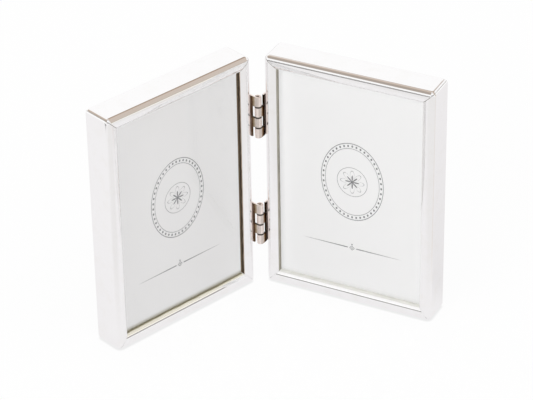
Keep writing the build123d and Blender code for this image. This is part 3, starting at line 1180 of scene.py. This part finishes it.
def studio_floor():
    """A wide white floor that keeps a soft shadow under the frame."""
    material, tree, paint = new_material("white_floor")
    place = object_place(tree)
    dress(tree, paint, Base_Color=(0.97, 0.97, 0.97), Roughness=0.9, Specular_IOR_Level=0.0,
          Normal=bump(tree, noise(tree, place, 0.02), 0.2 * mm, 0.2))
    mirrored = rays(tree, "Glossy")
    contact = shader_node(tree, "ShaderNodeAmbientOcclusion", Distance=contact_reach).outputs["AO"]
    white = mix_colours(tree, fade_in(tree, contact, *contact_range), contact_grey, studio_white)
    glow = emission(tree, mix_colours(tree, mirrored, white, mirrored_floor(tree, place)))
    share = highest(tree, times(tree, rays(tree, "Camera", "Transmission"), floor_glow),
                    times(tree, mirrored, floor_mirror_glow))
    show_blend(tree, share, paint, glow)
    stage_sheet("studio_floor", studio_reach, Matrix(), material)


def mirrored_floor(tree, place):
    """The floor's colours in the metal: warmer on the right, and dark past the paper's edge."""
    right, back, _ = axes_of(tree, place)
    front = times(tree, fade_in(tree, right, *front_right), fade_out(tree, back, *front_back))
    colour = mix_colours(tree, front, floor_plain, floor_front)
    beside = reckon(tree, "MULTIPLY_ADD", right, warm_slant, back)
    warm = times(tree, fade_in(tree, right, *warm_right), fade_out(tree, back, *warm_back),
                 fade_in(tree, beside, *warm_edge))
    colour = mix_colours(tree, warm, colour, floor_warm)
    aside = times(tree, fade_in(tree, right, *aside_right), fade_in(tree, back, *aside_back))
    aside_colour = by_steps(tree, right, tuple(zip(aside_change, (floor_aside, floor_far))))
    colour = mix_colours(tree, aside, colour, aside_colour)
    away = reckon(tree, "ADD", times(tree, right, -cos(paper_turn)), times(tree, back, -sin(paper_turn)))
    off_line = reckon(tree, "ADD", times(tree, right, sin(paper_turn)), times(tree, back, -cos(paper_turn)))
    outside = reckon(tree, "MULTIPLY_ADD", away, paper_flare, away_from(tree, off_line))
    past_edge = times(tree, band(tree, away, *paper_edge, paper_soft), fade_out(tree, outside, *paper_side))
    return mix_colours(tree, past_edge, colour, floor_dark)


def studio_world():
    """White for the camera, the room's zones for the metal, and an even light on the rest."""
    world = bpy.data.worlds.new("studio")
    bpy.context.scene.world = world
    world.use_nodes = True
    tree = world.node_tree
    tree.nodes.clear()
    shader_node(tree, "ShaderNodeOutputWorld")
    right, behind, height = axes_of(tree, shader_node(tree, "ShaderNodeTexCoord").outputs["Generated"])
    rise = times(tree, reckon(tree, "ARCSINE", height), 180 / pi)
    turn = times(tree, reckon(tree, "ARCTAN2", right, behind), 180 / pi)
    colour = studio_white
    for tint, turns, rises, soft in room_zones:
        zone = times(tree, band(tree, turn, *turns, zone_side), band(tree, rise, *rises, soft))
        colour = mix_colours(tree, zone, colour, tint)
    colour = mix_colours(tree, rays(tree, "Camera"), colour, studio_white)
    plain = shader_node(tree, "ShaderNodeBackground", Color=(1.0, 0.995, 0.99), Strength=world_light)
    seen = shader_node(tree, "ShaderNodeBackground", Color=colour, Strength=1.0)
    show_blend(tree, rays(tree, "Camera", "Glossy", "Transmission"), plain, seen)


def studio_lamps():
    lamp = bpy.data.lights.new("left_softbox", "AREA")
    lamp.shape = "DISK"
    lamp.size = key_size
    lamp.energy = key_power
    holder = link_to_scene("left_softbox", lamp)
    holder.location = key_place
    holder.rotation_euler = (frame_middle - key_place).to_track_quat("-Z", "Y").to_euler()
    holder.visible_glossy = False


def mirrored_card():
    """A pale card at the right, low down, which only the metal sees."""
    material, tree, _ = new_material("pale_card")
    height = axes_of(tree, object_place(tree))["Z"]
    show(tree, emission(tree, by_steps(tree, height, card_shades)))
    facing = Matrix.Rotation(card_turn, 4, "Z") @ Matrix.Rotation(pi / 2, 4, "X")
    shape = Matrix.Diagonal((card_width, card_height, 1, 1))
    card = stage_sheet("pale_card", 0.5, Matrix.Translation(card_place) @ facing @ shape, material)
    for kind in ("camera", "diffuse", "transmission", "volume_scatter", "shadow"):
        setattr(card, "visible_" + kind, False)


def studio_camera():
    lens = bpy.data.cameras.new("photo_camera")
    lens.sensor_width = sensor_width
    lens.lens = camera_focal_share * sensor_width
    lens.clip_start, lens.clip_end = nearest_seen, farthest_seen
    holder = link_to_scene("photo_camera", lens)
    turned = (Matrix.Rotation(radians(camera_yaw), 4, "Z")
              @ Matrix.Rotation(radians(90 + camera_pitch), 4, "X")
              @ Matrix.Rotation(radians(camera_roll), 4, "Z"))
    holder.matrix_world = Matrix.Translation(camera_place) @ turned
    bpy.context.scene.camera = holder


def finish_nodes(material, ending):
    """Gives a material to the nodes that stay as they are."""
    for name, node in frame["nodes"].items():
        if name.endswith(ending):
            node.data.materials.clear()
            node.data.materials.append(material)


def make_finishes():
    finishes = {
        "silver": silver_plate(),
        "inside": bare_inside(),
        "seam": seam_line(),
        "plated_lip": plated_lip(),
        "grime": hinge_grime_and_shade(),
        "pin": worn_metal("drawn_steel", (0.2, 0.15, 0.11), (0.08, 0.055, 0.04), 0.4),
        "button": worn_metal("nickelled_spring_steel", (0.8, 0.79, 0.77), (0.66, 0.65, 0.63), 0.22,
                             brushed=(1, 0.1, 1)),
        "brass": worn_metal("brass_rivet", (0.83, 0.66, 0.36), (0.68, 0.5, 0.24), 0.22,
                            brushed=(1, 1, 1)),
        "glass": clear_glass(),
        "velvet": black_velvet(),
    }
    for rail, shades in lip_shades.items():
        finishes[rail + "_lip"] = painted_shade_lip(*shades)
    for face, shades in nickel_shades.items():
        finishes[face + "_nickel"] = hinge_nickel(*shades)
    for side in ("left", "right"):
        finishes[side + "_paper"] = print_paper(side)
    return finishes


def build_frame():
    finishes = make_finishes()
    build_rails(finishes)
    for side in ("left", "right"):
        build_glass(side, finishes)
        build_print(side, finishes)
        build_velvet(side, finishes)
        for end in ("top", "bottom"):
            build_button(side, end, finishes)
            build_rivet(side, end, finishes)
    for name, turn in (("upper", 1), ("lower", -1)):
        build_hinge(name, half_height + hinge_rise + turn * hinge_offset, finishes)
    finish_nodes(fibre_board("pressed_hardboard", (0.34, 0.21, 0.12), (0.22, 0.13, 0.075),
                             (0.45, 0.31, 0.19)), "_backing_board")
    finish_nodes(fibre_board("grey_card", (0.5, 0.49, 0.45), (0.42, 0.41, 0.38), (0.3, 0.29, 0.27)),
                 "_filler_card")


build_frame()
studio_floor()
studio_world()
studio_lamps()
mirrored_card()
studio_camera()

bpy.context.scene.view_settings.view_transform = "Standard"
